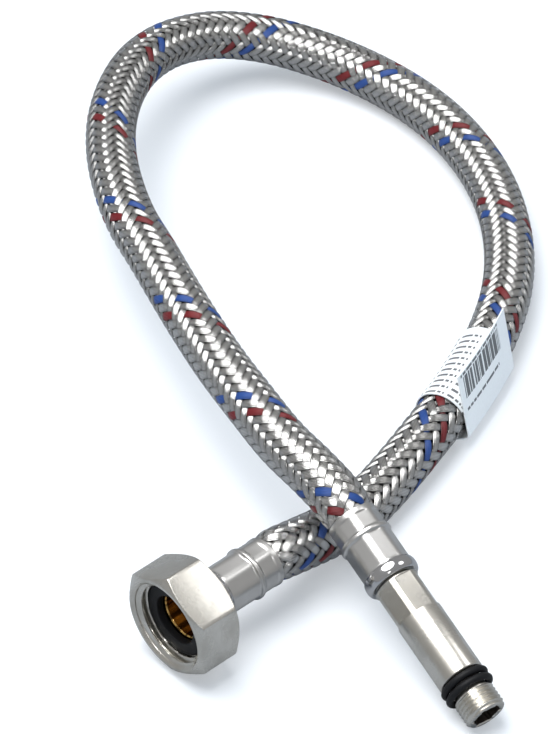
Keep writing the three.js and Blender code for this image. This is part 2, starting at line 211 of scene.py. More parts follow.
@dataclass(frozen=True)
class Axis:
    """A fitting's own axis: height runs from the ferrule's open end towards the fitting's tip.

    Args:
        mouth: the middle of the ferrule's open end, in millimetres.
        direction: where the fitting points.
    """

    mouth: np.ndarray
    direction: np.ndarray

    def at(self, height: float) -> np.ndarray:
        """The axis point at a height."""
        return self.mouth + self.direction * height

    def frame(self) -> tuple[np.ndarray, np.ndarray]:
        """Two directions square to the axis: one level, and one that rises.

        Returns:
            The level direction and the rising one.
        """
        side = np.cross([0.0, 0.0, 1.0], self.direction)
        side /= np.linalg.norm(side)
        return side, np.cross(self.direction, side)

    def turned(self, name: str, profile: np.ndarray, inner_from: int | None = None) -> Surface:
        """A closed ring-like surface: each profile point goes to mouth + r cos a + r sin a + h.

        Args:
            name: the piece's name.
            profile: a closed loop of radius and height at each angle, shape (rows, angles, 2).
            inner_from: the row from which the faces take the second material.

        Returns:
            The surface, with UV = (share of a turn, height in centimetres).
        """
        rows, angles = profile.shape[:2]
        angle = np.arange(angles) / angles * TURN
        side, rise = self.frame()
        radius, height = profile[..., 0:1], profile[..., 1:2]
        points = (
            self.mouth
            + radius * (np.cos(angle)[:, None] * side + np.sin(angle)[:, None] * rise)
            + height * self.direction
        )
        surface = Surface(name, points.reshape(-1, 3))
        faces, places = lattice_faces(rows, angles, True, True)
        heights = height[..., 0][places[..., 0] % rows, places[..., 1] % angles] / 10
        inner = places[:, 0, 0] >= (rows if inner_from is None else inner_from)
        surface.add(faces, np.stack([places[..., 1] / angles, heights], axis=-1), inner.astype(int))
        return surface


def rings(
    pairs: list[tuple[float | np.ndarray, float | np.ndarray]], angles: int
) -> np.ndarray:
    """Profile rows from pairs of a radius and a height, each a number or a value for each angle.

    Args:
        pairs: the profile's corners in order.
        angles: samples round the piece.

    Returns:
        Radius and height, shape (pairs, angles, 2).
    """
    rows = [[np.broadcast_to(part, angles) for part in pair] for pair in pairs]
    return np.stack([np.stack(row, axis=-1) for row in rows])


def softened(radius: np.ndarray, reach: int) -> np.ndarray:
    """Each sample round a piece becomes the mean of those within reach on both sides."""
    return np.mean([np.roll(radius, shift) for shift in range(-reach, reach + 1)], axis=0)


def flats_radius(
    sides: int, across: float, largest: float, angles: int, turn: float
) -> np.ndarray:
    """Radius of a bar with milled flats: half the width across flats over the cosine of the angle
    from the nearest flat's middle, and never more than the bar's own radius.

    Args:
        sides: the number of flats.
        across: the width across flats.
        largest: the bar's radius.
        angles: samples round the bar.
        turn: where the middle of a flat lies, in radians.

    Returns:
        The radius at each angle.
    """
    angle = np.arange(angles) / angles * TURN - turn
    sector = TURN / sides
    off = (angle + sector / 2) % sector - sector / 2
    return np.minimum(across / 2 / np.cos(off), largest)


def thread_rows(
    root: float, crest: float, pitch: float, start: float, end: float, angles: int, fade: float
) -> np.ndarray:
    """Rows of a helical thread: the radius follows a rounded triangle wave of
    height / pitch - share of a turn, and fades into the root over the last stretch of each end.

    Args:
        root: the radius that the thread fades into at its ends.
        crest: the radius at the other side of the thread.
        pitch: the rise in one turn.
        start: the first row's height.
        end: the last row's height.
        angles: samples round the thread.
        fade: the length of each fade.

    Returns:
        Radius and height, shape (rows, angles, 2).
    """
    rows_a_turn, flat_share, roundness = 14, 0.125, 0.35
    rows = int(round((end - start) / pitch * rows_a_turn)) + 1
    height = np.linspace(start, end, rows)[:, None]
    share = (np.arange(angles) / angles)[None, :]
    phase = (height / pitch - share) % 1.0
    wave = np.clip((1 + 2 * flat_share) * (1 - np.abs(2 * phase - 1)) - flat_share, 0, 1)
    wave = wave * wave * (3 - 2 * wave) * roundness + wave * (1 - roundness)
    edge = np.clip(np.minimum(height - start, end - height) / fade, 0, 1)
    radius = root + (crest - root) * wave * edge
    return np.stack([radius, np.broadcast_to(height, radius.shape)], axis=-1)


# Shader making


class Value:
    """A socket on which arithmetic adds Math nodes.

    Args:
        graph: the material's graph.
        socket: a node's output.
    """

    def __init__(self, graph: "Graph", socket: bpy.types.NodeSocket) -> None:
        """Keeps the graph and the socket."""
        self.graph = graph
        self.socket = socket

    def math(self, operation: str, *others: "Value | float") -> "Value":
        """This value and others through one Math node."""
        inputs = {i: v for i, v in enumerate((self, *others))}
        return self.graph.node("ShaderNodeMath", {"operation": operation}, inputs)

    def beside(self, output: int | str) -> "Value":
        """Another output of the same node."""
        return Value(self.graph, self.socket.node.outputs[output])

    def between(self, low: float, high: float) -> "Value":
        """1 where the value lies between the two, otherwise 0."""
        return self.above(low) * self.below(high)

    def __add__(self, other: "Value | float") -> "Value":
        """Sum."""
        return self.math("ADD", other)

    def __radd__(self, other: float) -> "Value":
        """Sum from the right."""
        return self + other

    def __sub__(self, other: "Value | float") -> "Value":
        """Difference."""
        return self.math("SUBTRACT", other)

    def __rsub__(self, other: float) -> "Value":
        """Difference from the right."""
        return self * -1.0 + other

    def __mul__(self, other: "Value | float") -> "Value":
        """Product."""
        return self.math("MULTIPLY", other)

    def __rmul__(self, other: float) -> "Value":
        """Product from the right."""
        return self * other

    def fract(self) -> "Value":
        """What is left after the whole number."""
        return self.math("FRACT")

    def size(self) -> "Value":
        """The value without its sign."""
        return self.math("ABSOLUTE")

    def below(self, limit: float) -> "Value":
        """1 where the value is less than the limit, otherwise 0."""
        return self.math("LESS_THAN", limit)

    def above(self, limit: float) -> "Value":
        """1 where the value is more than the limit, otherwise 0."""
        return self.math("GREATER_THAN", limit)

    def clamped(self) -> "Value":
        """The value held between 0 and 1."""
        return self.math("MAXIMUM", 0.0).math("MINIMUM", 1.0)

    def sine(self) -> "Value":
        """The sine of the value."""
        return self.math("SINE")


class Graph:
    """The nodes of a material, or of the world.

    Args:
        name: its name.
        world: whether it is the world's.
    """

    def __init__(self, name: str, world: bool = False) -> None:
        """Makes an empty node tree."""
        kinds = bpy.data.worlds if world else bpy.data.materials
        self.owner = kinds.new(name)
        self.owner.use_nodes = True
        self.nodes = self.owner.node_tree.nodes
        self.links = self.owner.node_tree.links
        self.nodes.clear()
        self.kind = "World" if world else "Material"

    def node(
        self,
        kind: str,
        settings: dict[str, object] | None = None,
        inputs: dict[int | str, object] | None = None,
        output: int | str = 0,
    ) -> Value:
        """Adds a node.

        Args:
            kind: the node's type.
            settings: its own settings, set first.
            inputs: values or links by socket name or number.
            output: which output to give back.

        Returns:
            The chosen output, or the first input of a node that has none.
        """
        made = self.nodes.new(kind)
        for key, value in (settings or {}).items():
            setattr(made, key, value)
        for key, value in (inputs or {}).items():
            self.feed(made.inputs[key], value)
        return Value(self, made.outputs[output] if made.outputs else made.inputs[0])

    def feed(self, socket: bpy.types.NodeSocket, value: object) -> None:
        """Links a value to a socket, or sets a plain number or colour on it."""
        if isinstance(value, Value):
            self.links.new(value.socket, socket)
        else:
            socket.default_value = value

    def finish(self, surface: Value) -> bpy.types.Material | bpy.types.World:
        """Gives the output its surface."""
        self.node(f"ShaderNodeOutput{self.kind}", None, {"Surface": surface})
        return self.owner

    def principled(self, **inputs: object) -> Value:
        """A principled shader; a name's underscores are spaces."""
        named = {key.replace("_", " "): value for key, value in inputs.items()}
        return self.node("ShaderNodeBsdfPrincipled", None, named)

    def blend(self, share: Value | float, low: Value, high: Value) -> Value:
        """One shader where the share is 0 and another where it is 1."""
        return self.node("ShaderNodeMixShader", None, {0: share, 1: low, 2: high})

    def place(self) -> Value:
        """Object coordinates."""
        return self.node("ShaderNodeTexCoord", output="Object")

    def uv(self) -> tuple[Value, Value]:
        """The two parts of the surface's own UV.

        Returns:
            The first part and the second.
        """
        vector = self.node("ShaderNodeUVMap", {"uv_map": "surface"})
        first = self.node("ShaderNodeSeparateXYZ", None, {0: vector})
        return first, first.beside(1)

    def noise(self, vector: Value, scale: float, detail: float = 3.0) -> Value:
        """Noise from 0 to 1."""
        return self.node(
            "ShaderNodeTexNoise", None, {"Vector": vector, "Scale": scale, "Detail": detail}
        )

    def mix(self, share: Value | float, low: object, high: object) -> Value:
        """A colour between two, by a share."""
        return self.node(
            "ShaderNodeMix", {"data_type": "RGBA"}, {0: share, 6: low, 7: high}, output=2
        )

    def lines(self, along: Value, scale: float, detail: float) -> Value:
        """Noise from 0 to 1 that follows one value alone.

        Args:
            along: the value.
            scale: how fine it is.
            detail: how many finer layers it has.

        Returns:
            The noise.
        """
        settings = {"noise_dimensions": "1D"}
        inputs = {"W": along, "Scale": scale, "Detail": detail}
        return self.node("ShaderNodeTexNoise", settings, inputs)

    def bump(self, height: Value, depth: float, strength: float = 1.0) -> Value:
        """Turns a height in units of depth into a normal."""
        return self.node(
            "ShaderNodeBump", None, {"Strength": strength, "Distance": depth, "Height": height}
        )

    def stripes(self, along: Value, width: float, share: float) -> Value:
        """1 in a share of the bands of that width, chosen by chance, and 0 in the others.

        Args:
            along: the value that the bands divide.
            width: a band's width.
            share: how many of them count.

        Returns:
            The mask.
        """
        band = (along * (1.0 / width)).math("FLOOR")
        chance = self.node("ShaderNodeTexWhiteNoise", {"noise_dimensions": "1D"}, {"W": band})
        return chance.below(share)


Colour = tuple[float, float, float, float]


def rgb(red: float, green: float, blue: float) -> Colour:
    """An opaque colour."""
    return (red, green, blue, 1.0)


def darker(colour: Colour, share: float) -> Colour:
    """The colour at a share of its strength."""
    return rgb(*(part * share for part in colour[:3]))


@dataclass(frozen=True)
class WireFinish:
    """Ribbons of fine bright wires laid side by side.

    Args:
        name: the material's name.
        colour: the wires' colour.
        metallic: 1 for bare wire, less for coloured thread.
        roughness: the mean roughness.
        wires: wires in a ribbon.
        shade: how bright the shaded colour is beside the wires' own.
        groove: how lit the grooves between the wires are.
        edge_shade: how far the ribbon's edges go to the shaded colour.
        wire_depth: how deep the grooves are, in metres.
    """

    name: str
    colour: Colour
    metallic: float = 1.0
    roughness: float = 0.18
    wires: int = 6
    shade: float = 0.3
    groove: float = 0.25
    edge_shade: float = 0.7
    wire_depth: float = 0.00009

    def make(self) -> bpy.types.Material:
        """Wires as a sine across the ribbon, darker towards its edges and in between.

        Returns:
            The material.
        """
        graph = Graph(self.name)
        _, across = graph.uv()
        wave = (across * (math.pi * self.wires)).sine().size()
        edge = (across * 2.0 - 1.0).size()
        grain = graph.noise(graph.place(), 900.0)
        dark = darker(self.colour, self.shade)
        lit = graph.mix(wave * (1 - self.groove) + self.groove, dark, self.colour)
        return graph.finish(
            graph.principled(
                Base_Color=graph.mix(edge * edge * edge * self.edge_shade, lit, dark),
                Roughness=grain * 0.16 + (self.roughness - 0.06),
                Metallic=self.metallic,
                Normal=graph.bump(wave, self.wire_depth, 0.85),
            )
        )


@dataclass(frozen=True)
class MetalFinish:
    """Turned or polished metal with fine lathe lines, cloudy plating, small scratches and painted
    dark lengthwise streaks that stand in for reflections.

    Args:
        name: the material's name.
        colour: the clean colour.
        stain: the colour in the duller patches.
        roughness: the mean roughness.
        lines: how strongly the lathe lines show.
        reflection_streaks: how strongly the painted lengthwise reflection streaks show.
        reflection_shade: how bright a painted reflection streak is beside the stain.
        streak_scale: painted reflection streaks round the piece, roughly.
        line_scale: lathe lines in a centimetre, roughly.
        cloud_scale: clouds in a metre, roughly.
        pit_scale: pits in a metre, roughly.
    """

    name: str
    colour: Colour
    stain: Colour
    roughness: float
    lines: float = 0.25
    reflection_streaks: float = 0.0
    reflection_shade: float = 0.12
    streak_scale: float = 22.0
    line_scale: float = 260.0
    cloud_scale: float = 130.0
    pit_scale: float = 2400.0

    def make(self) -> bpy.types.Material:
        """Lathe lines run round the piece: noise of height alone. Painted dark reflection streaks
        run along it: noise of the share of a turn alone.

        Returns:
            The material.
        """
        graph = Graph(self.name)
        place = graph.place()
        turn, height = graph.uv()
        streak = graph.lines(turn, self.streak_scale, 1.0)
        cut = graph.lines(height, self.line_scale, 2.0)
        cloud = ((graph.noise(place, self.cloud_scale, 5.0) - 0.32) * 2.4).clamped()
        pits = graph.noise(place, self.pit_scale, 2.0)
        clouded = graph.mix(cloud, self.colour, self.stain)
        # Painted reflection: dark lengthwise streaks stand in for the reflections seen in the
        # brass.
        dark = ((streak - 0.45) * 7.0).clamped() * self.reflection_streaks
        reflection_dark = darker(self.stain, self.reflection_shade)
        return graph.finish(
            graph.principled(
                Base_Color=graph.mix(dark, clouded, reflection_dark),
                Roughness=cloud * 0.12 + cut * 0.08 + (self.roughness - 0.1),
                Metallic=1.0,
                Normal=graph.bump(cut * self.lines + pits * 0.35, 0.00004, 0.5),
            )
        )


@dataclass(frozen=True)
class RubberFinish:
    """Matt black rubber with a fine pore.

    Args:
        name: the material's name.
    """

    name: str = "black_rubber"

    def make(self) -> bpy.types.Material:
        """Two scales of noise in colour, roughness and bump.

        Returns:
            The material.
        """
        graph = Graph(self.name)
        place = graph.place()
        fine, broad = graph.noise(place, 3000.0), graph.noise(place, 260.0)
        return graph.finish(
            graph.principled(
                Base_Color=graph.mix(broad, rgb(0.005, 0.005, 0.006), rgb(0.011, 0.011, 0.012)),
                Roughness=fine * 0.2 + 0.42,
                Specular_IOR_Level=0.2,
                Normal=graph.bump(fine, 0.00005, 0.4),
            )
        )


@dataclass(frozen=True)
class Print:
    """A printed field of stripes across the hose's direction, in millimetres.

    Args:
        width: of a stripe.
        share: how many of the stripes are dark.
        along: the stretch along the hose that it covers.
        edge: the stretch from the label's free edge that it covers.
    """

    width: float
    share: float
    along: tuple[float, float]
    edge: tuple[float, float]

    def mark(self, graph: Graph, along: Value, edge: Value) -> Value:
        """1 in the field's dark stripes and 0 elsewhere."""
        stripes = graph.stripes(along, self.width, self.share)
        return stripes * along.between(*self.along) * edge.between(*self.edge)


@dataclass(frozen=True)
class PaperFinish:
    """Coated white paper with plain printed bars and lines.

    Args:
        name: the material's name.
        fields: the bars, the small marks at the free edge and the line near the fold.
        rows_a_mm: printed rows round the ring, for each millimetre along the hose.
        ring_start: how far from the free edge the ring's rows begin.
    """

    name: str = "label_paper"
    fields: tuple[Print, ...] = (
        Print(0.34, 0.55, (5.0, 25.4), (1.5, 7.8)),
        Print(0.45, 0.6, (5.0, 25.4), (0.4, 1.15)),
        Print(0.4, 0.66, (7.0, 25.0), (10.4, 11.2)),
    )
    rows_a_mm: float = 0.45
    ring_start: float = 19.5

    def make(self) -> bpy.types.Material:
        """The fields on the flag, and rows of broken lines round the ring.

        Returns:
            The material.
        """
        graph = Graph(self.name)
        along, edge = graph.uv()
        grain = graph.noise(graph.place(), 1600.0)
        row = (along * self.rows_a_mm).fract().between(0.3, 0.66) * along.between(1.5, 25.8)
        ink = graph.stripes(edge, 0.45, 0.62) * row * edge.above(self.ring_start)
        for part in self.fields:
            ink = ink.math("MAXIMUM", part.mark(graph, along, edge))
        paper = graph.mix(grain, rgb(0.78, 0.78, 0.77), rgb(0.86, 0.86, 0.85))
        return graph.finish(
            graph.principled(
                Base_Color=graph.mix(ink * 0.88, paper, rgb(0.03, 0.03, 0.035)),
                Roughness=grain * 0.15 + 0.5,
                Normal=graph.bump(grain, 0.00003, 0.3),
            )
        )


@dataclass(frozen=True)
class CrimpFinish:
    """Bright rolled steel: satin where the crimping tool pressed it and polished on the bead.

    Args:
        name: the material's name.
        bead: the heights between which the bead lies, in centimetres.
    """

    name: str = "crimped_steel"
    bead: tuple[float, float] = (1.48, 1.9)

    def make(self) -> bpy.types.Material:
        """Soft clouds in colour and roughness, and lathe lines that fade on the bead.

        Returns:
            The material.
        """
        graph = Graph(self.name)
        place = graph.place()
        _, height = graph.uv()
        bead = height.between(*self.bead)
        cloud = graph.noise(place, 220.0, 4.0)
        fine = graph.noise(place, 1500.0, 2.0)
        pale = graph.mix(cloud, rgb(0.72, 0.715, 0.70), rgb(0.56, 0.555, 0.545))
        return graph.finish(
            graph.principled(
                Base_Color=graph.mix(bead, pale, rgb(0.60, 0.60, 0.61)),
                Roughness=(1.0 - bead) * 0.2 + cloud * 0.12 + 0.06,
                Metallic=1.0,
                Normal=graph.bump(fine * (1.0 - bead), 0.00003, 0.35),
            )
        )


class Finishes:
    """Every material of the hose, made once."""

    def __init__(self) -> None:
        """Makes the materials."""
        self.wire = WireFinish("bright_wire", rgb(0.74, 0.735, 0.72)).make()
        self.red = WireFinish("red_thread", rgb(0.19, 0.009, 0.012), 0.1, 0.4).make()
        self.blue = WireFinish("blue_thread", rgb(0.02, 0.075, 0.3), 0.1, 0.4).make()
        self.steel = CrimpFinish().make()
        self.nickel = MetalFinish(
            "satin_nickel", rgb(0.76, 0.74, 0.69), rgb(0.55, 0.53, 0.48), 0.29
        ).make()
        # Painted shade: a near-black metal for the inside of the tail's bore, where little light
        # reaches.
        self.bore = MetalFinish(
            "shade_painted_bore", rgb(0.16, 0.14, 0.12), rgb(0.08, 0.07, 0.06), 0.45
        ).make()
        # The brass is the one finish with strong painted reflection streaks.
        self.brass = MetalFinish(
            "bare_brass", rgb(0.80, 0.52, 0.17), rgb(0.60, 0.30, 0.09), 0.22, 0.2, 0.9
        ).make()
        self.rubber = RubberFinish().make()
        self.paper = PaperFinish().make()


def dress(
    piece: bpy.types.Object,
    body: Body,
    nodes: list[str],
    materials: list[bpy.types.Material],
) -> bpy.types.Object:
    """Gives a piece its materials, the body it rides on and the nodes it stands for.

    Args:
        piece: the finished object.
        body: the body that it moves with.
        nodes: the nodes that it replaces.
        materials: one for each of its slots.

    Returns:
        The piece.
    """
    for material in materials:
        piece.data.materials.append(material)
    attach(piece, body.value)
    if nodes:
        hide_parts(*nodes)
    log.info("%s: %d faces", piece.name, len(piece.data.polygons))
    return piece


# The hose


@dataclass(frozen=True)
class Crimp:
    """Sizes that both ends share, in millimetres, as heights from a ferrule's open end."""

    hose_diameter: float = 12.5
    length: float = 18.2
    bore: float = 5.35
    wall: float = 0.4
    mouth: float = 1.2
    flats: int = 8
    ridge_start: float = 5.5
    ridge_width: float = 1.3
    ridge_rise: float = 0.4
    bead_width: float = 3.3
    bead_rise: float = 0.55
    lip: float = 1.1
    fit: float = 0.3
    collar_width: float = 1.8
    collar_radius: float = 5.05
    stem_radius: float = 3.3
    stem_start: float = 1.5
    stem_bore: float = 2.5
    barbs: int = 3
    barb_pitch: float = 3.8
    barb_height: float = 0.5
    neck_radius: float = 4.3
    squeeze: float = 1.15
    taper: float = 3.0
    hose_gap: float = 0.25

    def grip(self, outside: np.ndarray | float) -> np.ndarray:
        """How far the hose is pressed, from 0 to 1, at a distance outside the open end: it falls
        evenly from the belled mouth's depth inside to the taper's length outside."""
        return np.clip((self.taper - outside) / (self.taper + self.mouth), 0, 1)

    @property
    def flat_radius(self) -> float:
        """Half the width across the crimp's flats."""
        return self.bore + self.wall

    @property
    def radius(self) -> float:
        """The radius that the crimp leaves between its flats."""
        return self.flat_radius / math.cos(math.pi / self.flats) - 0.2

    @property
    def bead_start(self) -> float:
        """Where the rolled bead begins."""
        return self.length - self.bead_width

    @property
    def collar_end(self) -> float:
        """The front of the fitting's collar."""
        return self.length - self.lip - self.fit

    @property
    def collar_start(self) -> float:
        """The back of the fitting's collar."""
        return self.collar_end - self.collar_width

    def stem(self) -> list[tuple[float, float]]:
        """Profile corners of the barbed stem and collar.

        Returns:
            Pairs of a radius and a height.
        """
        root = self.stem_radius - self.barb_height
        corners: list[tuple[float, float]] = []
        for barb in range(self.barbs):
            start = self.stem_start + barb * self.barb_pitch
            corners += [
                (root, start),
                (self.stem_radius, start + self.barb_pitch * 0.8),
                (root, start + self.barb_pitch * 0.85),
            ]
        return corners + [
            (root, self.collar_start),
            (self.collar_radius, self.collar_start),
            (self.collar_radius, self.collar_end),
        ]


@dataclass
class Route:
    """The hose's centreline, from the tail's ferrule to the nut's, in millimetres."""

    tail: Axis
    nut: Axis
    straight_out: float = 7.0
    straight_in: float = 3.5
    inside: float = 4.0
    samples: int = 240
    points: tuple[tuple[float, float, float], ...] = (
        (42.5, -42.5, 25.2),
        (30.6, -41.3, 25.9),
        (16.8, -38.3, 26.7),
        (3.0, -34.9, 27.4),
        (-10.6, -30.6, 27.8),
        (-24.1, -25.8, 28.0),
        (-37.3, -20.8, 28.0),
        (-50.6, -15.8, 27.8),
        (-63.2, -9.2, 27.4),
        (-74.9, -1.3, 26.8),
        (-85.5, 8.2, 26.0),
        (-94.4, 19.2, 24.8),
        (-101.2, 31.5, 23.0),
        (-104.4, 44.9, 20.4),
        (-103.4, 58.5, 16.7),
        (-97.2, 70.4, 12.7),
        (-86.8, 79.2, 9.3),
        (-74.0, 84.5, 7.3),
        (-59.9, 86.5, 6.5),
        (-45.8, 85.5, 6.4),
        (-32.1, 82.0, 6.4),
        (-19.1, 76.4, 6.5),
        (-7.1, 68.9, 6.7),
        (3.8, 59.7, 6.9),
        (13.2, 49.1, 7.1),
        (21.0, 37.2, 7.2),
        (27.3, 24.5, 7.2),
        (32.6, 11.3, 7.1),
        (36.9, -2.1, 6.9),
        (40.1, -12.8, 6.6),
        (43.0, -23.6, 6.5),
        (44.6, -31.0, 6.8),
        (45.6, -37.1, 7.8),
        (46.4, -43.0, 9.4),
        (47.0, -48.8, 11.2),
        (47.4, -54.4, 12.8),
    )

    def __post_init__(self) -> None:
        """Samples the curve finely and measures it.

        Between two points the curve is a cubic with centripetal tangents: each knot interval is the
        square root of the distance between its points.
        """
        chain = np.vstack(
            [
                self.tail.mouth,
                self.tail.at(-self.straight_out),
                np.array(self.points),
                self.nut.at(-self.straight_in),
                self.nut.mouth,
            ]
        )
        chain = np.vstack([2 * chain[0] - chain[1], chain, 2 * chain[-1] - chain[-2]])
        p0, p1, p2, p3 = chain[:-3], chain[1:-2], chain[2:-1], chain[3:]
        d0, d1, d2 = (
            np.sqrt(np.linalg.norm(b - a, axis=1, keepdims=True))
            for a, b in ((p0, p1), (p1, p2), (p2, p3))
        )
        start = ((p1 - p0) / d0 - (p2 - p0) / (d0 + d1) + (p2 - p1) / d1) * d1
        end = ((p2 - p1) / d1 - (p3 - p1) / (d1 + d2) + (p3 - p2) / d2) * d1
        t = np.linspace(0, 1, self.samples, endpoint=False).reshape(1, -1, 1)
        p1, p2, start, end = (v[:, None] for v in (p1, p2, start, end))
        curve = (
            p1
            + start * t
            + (3 * (p2 - p1) - 2 * start - end) * t**2
            + (2 * (p1 - p2) + start + end) * t**3
        ).reshape(-1, 3)
        ends = self.tail.at(self.inside), self.nut.at(self.inside)
        line = np.vstack([ends[0], curve, self.nut.mouth, ends[1]])
        steps = np.linalg.norm(np.diff(line, axis=0), axis=1)
        self.place = np.concatenate([[0.0], np.cumsum(steps)]) - self.inside
        self.line = line
        self.length = float(self.place[-1] - self.inside)
        along = np.gradient(line, self.place, axis=0)
        self.along = along / np.linalg.norm(along, axis=1, keepdims=True)

    def frame(self, distance: np.ndarray) -> tuple[np.ndarray, np.ndarray, np.ndarray]:
        """The centreline and two directions square to it at distances from the tail's ferrule.

        Args:
            distance: in millimetres, of any shape.

        Returns:
            The points, the level direction on the loop's outer side, and the rising one.
        """
        flat = distance.ravel()
        point, along = (
            np.stack([np.interp(flat, self.place, part[:, i]) for i in range(3)], axis=1)
            for part in (self.line, self.along)
        )
        out = np.cross(np.array([0.0, 0.0, 1.0]), along)
        out /= np.linalg.norm(out, axis=1, keepdims=True)
        rise = np.cross(along, out)
        shape = distance.shape + (3,)
        return point.reshape(shape), out.reshape(shape), rise.reshape(shape)

    def wrap(self, distance: np.ndarray, angle: np.ndarray, radius: np.ndarray) -> np.ndarray:
        """Points at an angle and radius round the centreline: c + r (cos a out + sin a rise)."""
        point, out, rise = self.frame(distance)
        return point + radius[..., None] * (
            np.cos(angle)[..., None] * out + np.sin(angle)[..., None] * rise
        )


@dataclass
class Hose:
    """The woven sleeve and the liner inside it.

    Args:
        route: the centreline.
        finishes: the materials.
    """

    route: Route
    finishes: Finishes
    carriers: int = 12
    turning: tuple[tuple[float, float], ...] = (
        (0, 11.6),
        (40, 10.7),
        (120, 9.5),
        (200, 9.2),
        (270, 10.2),
        (330, 11.0),
        (365, 9.3),
        (400, 7.9),
        (440, 8.6),
        (472, 9.3),
    )
    twisting: tuple[tuple[float, float], ...] = (
        (0, 0.42),
        (120, 0.63),
        (240, -0.48),
        (360, 0.04),
        (472, 0.6),
    )
    start_deg: float = 5.0
    usual_turning: float = 9.5
    ribbon_width: float = 2.0
    pinch: float = 0.22
    squareness: float = 1.5
    ribbon_thickness: float = 0.22
    wave: float = 0.21
    step: float = 0.45
    inside: float = 2.0
    section: tuple[tuple[float, float, float], ...] = (
        (-1.0, -0.15, 0.0),
        (-0.55, 0.5, 0.22),
        (0.55, 0.5, 0.78),
        (1.0, -0.15, 1.0),
        (0.0, -0.5, 0.5),
    )
    liner_radius: float = 5.2
    liner_wall: float = 1.25
    liner_squeeze: float = 0.75
    liner_thinning: float = 0.4
    liner_inside: float = 2.5
    liner_grid: tuple[int, int] = (400, 40)
    crimp: Crimp = Crimp()
    tracer_hand: Hand = Hand.LEFT
    red_ribbon: int = 2
    blue_ribbon: int = 4

    def grip(self, stations: np.ndarray) -> np.ndarray:
        """The grip of whichever ferrule is nearer."""
        return self.crimp.grip(np.minimum(stations, self.route.length - stations))

    def summed(
        self, stations: np.ndarray, rates: tuple[tuple[float, float], ...]
    ) -> np.ndarray:
        """The angle gathered from the tail's ferrule on, in degrees.

        Args:
            stations: distances along the hose.
            rates: pairs of a distance and the degrees a millimetre there, joined by straight lines.

        Returns:
            The sum of rate * step up to each station.
        """
        fine = np.linspace(-5, self.route.length + 5, 2000)
        rate = np.interp(fine, *np.array(rates).T)
        total = np.concatenate([[0.0], np.cumsum((rate[1:] + rate[:-1]) / 2 * np.diff(fine))])
        return np.interp(stations, fine, total) - np.interp(0.0, fine, total)

    def ribbons(self, hand: Hand) -> Surface:
        """One family of ribbons, each a helix whose radius rises over two crossings and sinks under
        two: r = middle + wave * tanh(q cos(quarter turns of the crossing count)) / tanh(q).

        Two ribbons cross each time that both have run half a carrier's share of the turn. A ribbon
        is a little narrower where it sinks. Each corner of its section is a share of its half
        width, a share of its thickness and a UV share.

        Args:
            hand: which way the family runs.

        Returns:
            The ribbons as closed strips, with UV = (millimetres along, share across).
        """
        middle = self.crimp.hose_diameter / 2 - self.ribbon_thickness / 2 - self.wave
        slope = math.atan2(math.radians(self.usual_turning) * middle, 1.0)
        length = self.route.length
        stations = np.linspace(-self.inside, length + self.inside, int(length / self.step))
        number = np.arange(self.carriers)
        wound = self.summed(stations, self.turning)[None]
        apart = 360 / self.carriers
        phase = 2 * number[:, None] + hand.value * wound * 2 / apart
        swing = np.cos((phase - 0.5) * TURN / 4) * hand.value
        height = np.tanh(self.squareness * swing) / math.tanh(self.squareness)
        half = self.ribbon_width / 2 * (1 - self.pinch * (1 - height) / 2)[..., None]
        wide, thick, share = np.array(self.section).T
        across, lift = half * wide, thick * self.ribbon_thickness
        corners = len(self.section)
        twist = self.start_deg + self.summed(stations, self.twisting)
        angle = np.radians(number[:, None] * apart + hand.value * wound + twist)
        distance = stations[None, :, None] - hand.value * across * math.sin(slope)
        swung = angle[..., None] + across * math.cos(slope) / middle
        squeezed = self.crimp.squeeze * self.grip(distance)
        radius = middle + self.wave * height[..., None] + lift - squeezed
        points = self.route.wrap(distance, swung, radius)
        surface = Surface(f"braid_{hand.name.lower()}", points.reshape(-1, 3))
        faces, places = lattice_faces(len(stations), corners, False, True)
        span = len(stations) * corners
        stretch = self.step / math.cos(slope)
        round_share = np.append(share, share[0])
        uv = np.stack([places[..., 0] * stretch, round_share[places[..., 1]]], axis=-1)
        cap = np.arange(corners)[None]
        cap_uv = np.stack([np.zeros(corners), share], axis=-1)[None]
        for ribbon in range(self.carriers):
            finish = self.ribbon_finish(hand, ribbon)
            surface.add(faces + ribbon * span, uv, finish)
            surface.add(cap[:, ::-1] + ribbon * span, cap_uv, finish)
            surface.add(cap + (ribbon + 1) * span - corners, cap_uv, finish)
        return surface

    def ribbon_finish(self, hand: Hand, ribbon: int) -> int:
        """0 for bright wire, 1 for the red tracer and 2 for the blue one."""
        if hand is not self.tracer_hand:
            return 0
        return {self.red_ribbon: 1, self.blue_ribbon: 2}.get(ribbon, 0)

    def liner(self) -> Surface:
        """The liner as a closed tube with a wall: two tubes joined by rings at their ends.

        Returns:
            The surface.
        """
        rows, angles = self.liner_grid
        past = self.liner_inside
        stations = np.linspace(-past, self.route.length + past, rows)
        grip = self.grip(stations)
        skin = self.liner_radius - self.liner_squeeze * grip
        bore = skin - self.liner_wall + self.liner_thinning * grip
        distance = np.concatenate([stations, stations[::-1]])
        radius = np.concatenate([skin, bore])
        angle = np.arange(angles) / angles * TURN
        grid = (len(distance), angles)
        points = self.route.wrap(
            np.broadcast_to(distance[:, None], grid),
            np.broadcast_to(angle, grid),
            np.broadcast_to(radius[:, None], grid),
        )
        surface = Surface("liner", points.reshape(-1, 3))
        faces, places = lattice_faces(*grid, True, True)
        surface.add(faces, places / np.array(grid))
        return surface

    def build(self) -> list[bpy.types.Object]:
        """Makes the braid and the liner; the first piece is the one whose name is logged with the
        hose's length.

        Returns:
            The right-hand ribbons, the left-hand ones and the liner.
        """
        fin = self.finishes
        wires = [fin.wire, fin.red, fin.blue]
        families = [
            dress(self.ribbons(hand).build(60), Body.HOSE, ["wire_braid"], wires)
            for hand in Hand
        ]
        liner = dress(self.liner().build(), Body.HOSE, ["inner_tube"], [fin.rubber])
        return [*families, liner]

